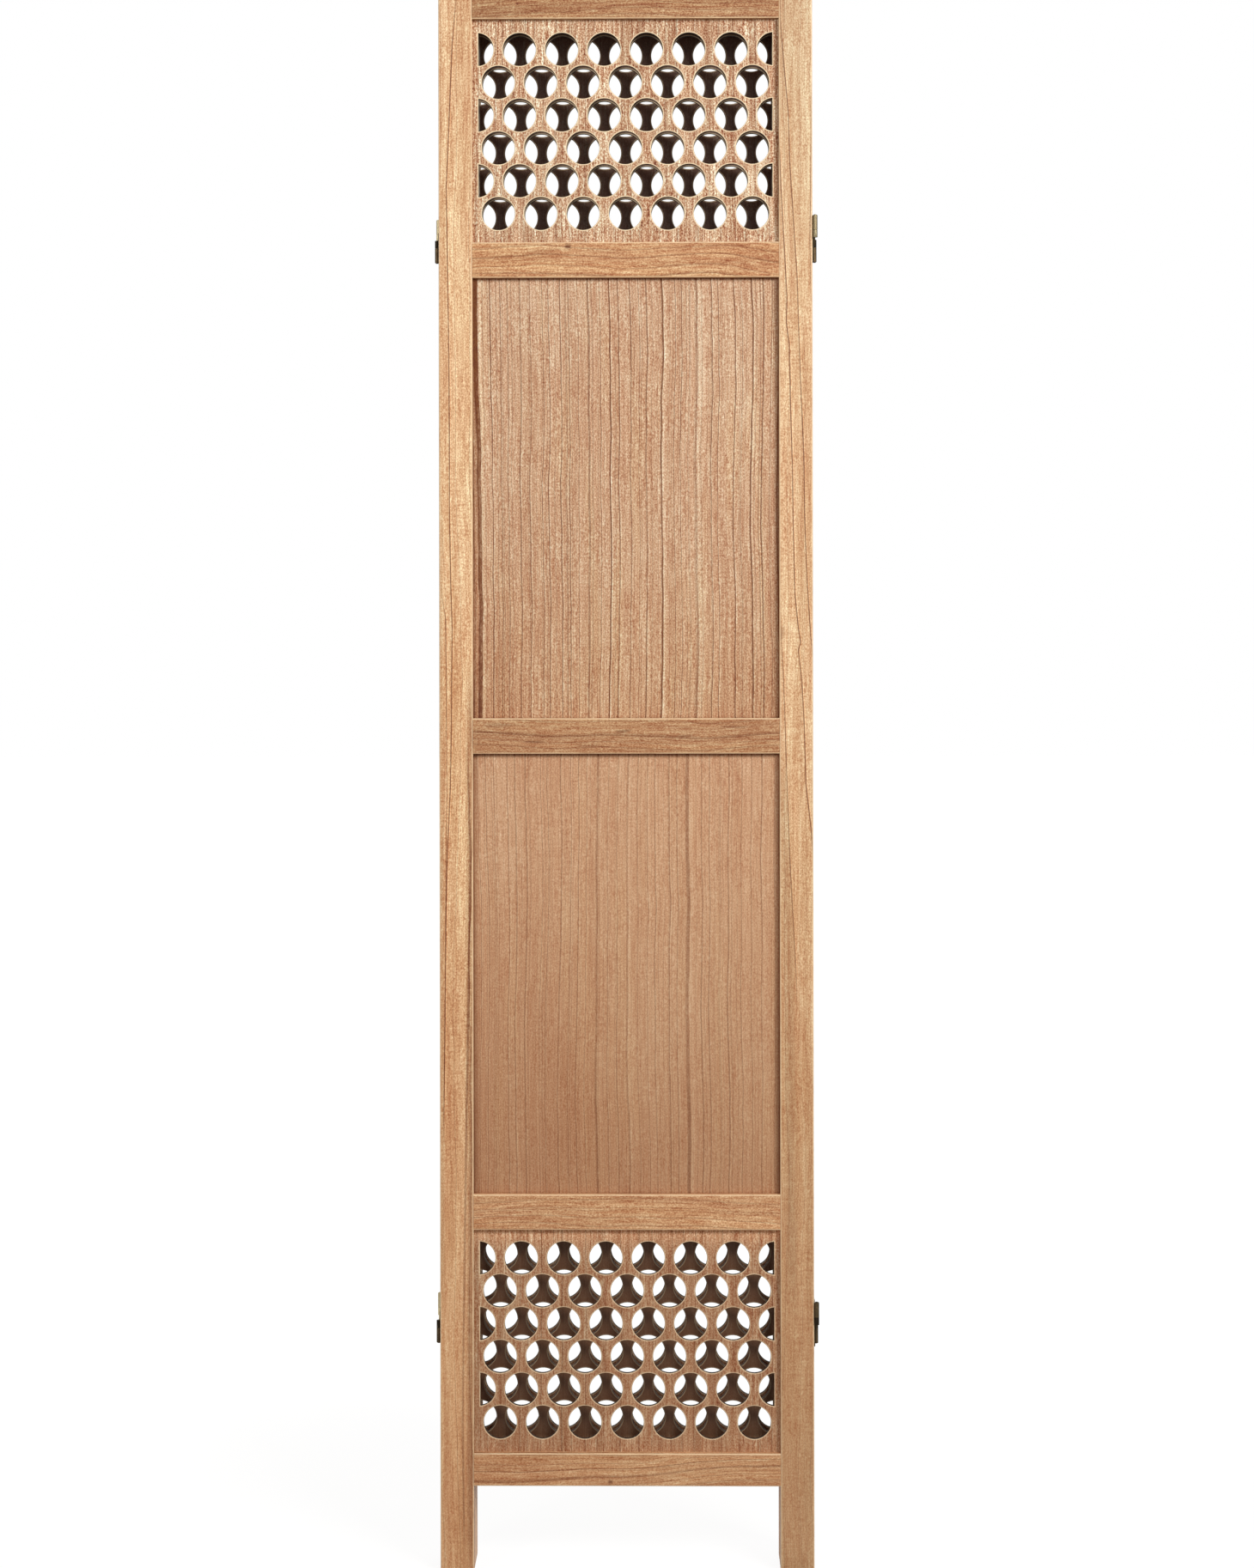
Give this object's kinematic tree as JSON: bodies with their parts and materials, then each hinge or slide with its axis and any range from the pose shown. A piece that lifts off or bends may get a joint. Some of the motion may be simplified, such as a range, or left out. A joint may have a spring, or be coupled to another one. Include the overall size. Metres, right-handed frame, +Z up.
{
  "type": "folding screen",
  "caption": "Wooden folding screen: framed panels with round-hole lattice fields and plain boards, on two-way hinges that let them fold flat or stand in a zigzag.",
  "frame": {"origin": "on the floor, in the middle of the folded screen's box", "axes": "+X to the right along the panels, +Y from the front panel to the rear panel, +Z up"},
  "size_m": [0.4106, 0.065, 1.7],
  "materials": {
    "stile_wood": "honey-brown stain, satin lacquer, upright grain",
    "rail_wood": "brown stain, satin lacquer, grain across the screen",
    "board_wood": "brown stained veneer with fine dark upright grain lines, satin",
    "lattice_wood": "stained thin board, paler rims around the holes, satin",
    "dowel_wood": "bare beech",
    "hinge_metal": "blackened, worn to brass on the knuckles",
    "pin_metal": "darkened brass",
    "screw_metal": "blackened"
  },
  "bodies": {
    "panel_1": {"panel_1_left_stile": "stile_wood", "panel_1_right_stile": "stile_wood", "panel_1_top_rail": "rail_wood", "panel_1_upper_rail": "rail_wood", "panel_1_middle_rail": "rail_wood", "panel_1_lower_rail": "rail_wood", "panel_1_bottom_rail": "rail_wood", "panel_1_upper_lattice": "lattice_wood", "panel_1_lower_lattice": "lattice_wood", "panel_1_upper_board": "board_wood", "panel_1_lower_board": "board_wood", "panel_1_dowels": "dowel_wood", "panel_1_hinge_screws": "screw_metal", "right_upper_hinge_near_leaf": "hinge_metal", "right_lower_hinge_near_leaf": "hinge_metal"},
    "link_1": {"right_upper_hinge_link": "hinge_metal", "right_upper_hinge_pins": "pin_metal", "right_lower_hinge_link": "hinge_metal", "right_lower_hinge_pins": "pin_metal"},
    "panel_2": {"panel_2_left_stile": "stile_wood", "panel_2_right_stile": "stile_wood", "panel_2_top_rail": "rail_wood", "panel_2_upper_rail": "rail_wood", "panel_2_middle_rail": "rail_wood", "panel_2_lower_rail": "rail_wood", "panel_2_bottom_rail": "rail_wood", "panel_2_upper_lattice": "lattice_wood", "panel_2_lower_lattice": "lattice_wood", "panel_2_upper_board": "board_wood", "panel_2_lower_board": "board_wood", "panel_2_dowels": "dowel_wood", "panel_2_hinge_screws": "screw_metal", "right_upper_hinge_far_leaf": "hinge_metal", "right_lower_hinge_far_leaf": "hinge_metal", "left_upper_hinge_near_leaf": "hinge_metal", "left_lower_hinge_near_leaf": "hinge_metal"},
    "link_2": {"left_upper_hinge_link": "hinge_metal", "left_upper_hinge_pins": "pin_metal", "left_lower_hinge_link": "hinge_metal", "left_lower_hinge_pins": "pin_metal"},
    "panel_3": {"panel_3_left_stile": "stile_wood", "panel_3_right_stile": "stile_wood", "panel_3_top_rail": "rail_wood", "panel_3_upper_rail": "rail_wood", "panel_3_middle_rail": "rail_wood", "panel_3_lower_rail": "rail_wood", "panel_3_bottom_rail": "rail_wood", "panel_3_upper_lattice": "lattice_wood", "panel_3_lower_lattice": "lattice_wood", "panel_3_upper_board": "board_wood", "panel_3_lower_board": "board_wood", "panel_3_dowels": "dowel_wood", "panel_3_hinge_screws": "screw_metal", "left_upper_hinge_far_leaf": "hinge_metal", "left_lower_hinge_far_leaf": "hinge_metal"}
  },
  "joints": [
    {"name": "right_near_pins", "type": "hinge", "parent": "panel_1", "child": "link_1", "pos_m": [0.2028, -0.03, 0.846], "axis": [0, 0, -1], "range_deg": [0, 90]},
    {"name": "right_far_pins", "type": "hinge", "parent": "link_1", "child": "panel_2", "pos_m": [0.2028, -0.009, 0.846], "axis": [0, 0, -1], "range_deg": [0, 180]},
    {"name": "left_near_pins", "type": "hinge", "parent": "panel_2", "child": "link_2", "pos_m": [-0.2028, -0.009, 0.846], "axis": [0, 0, 1], "range_deg": [0, 90]},
    {"name": "left_far_pins", "type": "hinge", "parent": "link_2", "child": "panel_3", "pos_m": [-0.2028, 0.012, 0.846], "axis": [0, 0, 1], "range_deg": [0, 180]}
  ]
}
